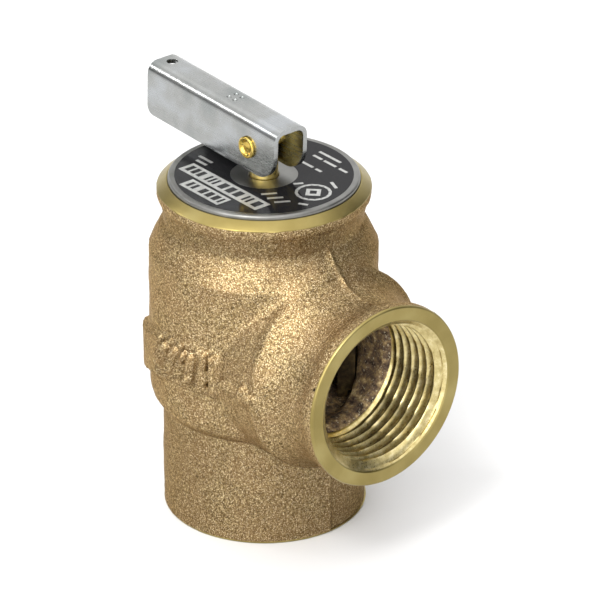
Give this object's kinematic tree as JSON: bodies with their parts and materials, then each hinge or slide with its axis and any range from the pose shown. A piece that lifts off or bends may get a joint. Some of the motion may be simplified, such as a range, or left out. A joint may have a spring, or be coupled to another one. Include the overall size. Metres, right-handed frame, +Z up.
{
  "type": "pressure relief valve",
  "caption": "Spring-loaded pressure relief valve with threaded inlet and side outlet, and a lever that lifts the valve by hand.",
  "frame": {"origin": "centre of the threaded inlet's mouth", "axes": "+Z up along the valve's axis, +X along the outlet's axis, out of its mouth; at rest the lever points towards -X"},
  "size_m": [0.0571, 0.039, 0.0708],
  "materials": {
    "cast_bronze": "sand cast, rough, with a fine sparkling grain",
    "machined_brass": "turned, with fine tool marks",
    "printed_plate": "glossy black print with a bare bright edge",
    "gasket_fibre": "matt",
    "seal_rubber": "matt moulded rubber",
    "plain_steel": "turned steel",
    "spring_steel": "dark drawn wire",
    "zinc_steel": "bright zinc plate with fine scratches"
  },
  "bodies": {
    "valve_body": {"body_casting": "cast_bronze", "nameplate": "printed_plate", "nameplate_gasket": "gasket_fibre", "plug_lock_ring": "machined_brass", "adjusting_plug": "machined_brass", "plug_seal": "seal_rubber", "guide_bushing": "machined_brass", "stem_seal": "seal_rubber", "thrust_washer": "machined_brass", "upper_spring_seat": "plain_steel", "disc_guide": "machined_brass", "spring": "spring_steel"},
    "disc_assembly": {"disc_holder": "machined_brass", "seat_disc": "seal_rubber", "disc_retainer": "machined_brass", "disc_screw": "plain_steel", "lower_spring_seat": "plain_steel", "stem_clip": "spring_steel"},
    "stem_assembly": {"stem": "machined_brass"},
    "lever_assembly": {"lever": "zinc_steel", "lever_rivet": "machined_brass"}
  },
  "joints": [
    {"name": "disc_lift", "type": "slide", "parent": "valve_body", "child": "disc_assembly", "axis": [0, 0, 1], "range_m": [0, 0.0011], "stiffness_N_per_m": 150, "springref_m": -0.002, "deforming": ["spring"]},
    {"name": "stem_swivel", "type": "hinge", "parent": "disc_assembly", "child": "stem_assembly", "pos_m": [0, 0, 0.05], "axis": [0, 0, 1], "continuous": true},
    {"name": "lever_lift", "type": "hinge", "parent": "stem_assembly", "child": "lever_assembly", "pos_m": [0, 0, 0.065], "axis": [0, 1, 0], "range_deg": [0, 80]}
  ],
  "couplings": [
    {"joint": "lever_lift", "follows": "disc_lift", "rad_per_m": 1250}
  ]
}
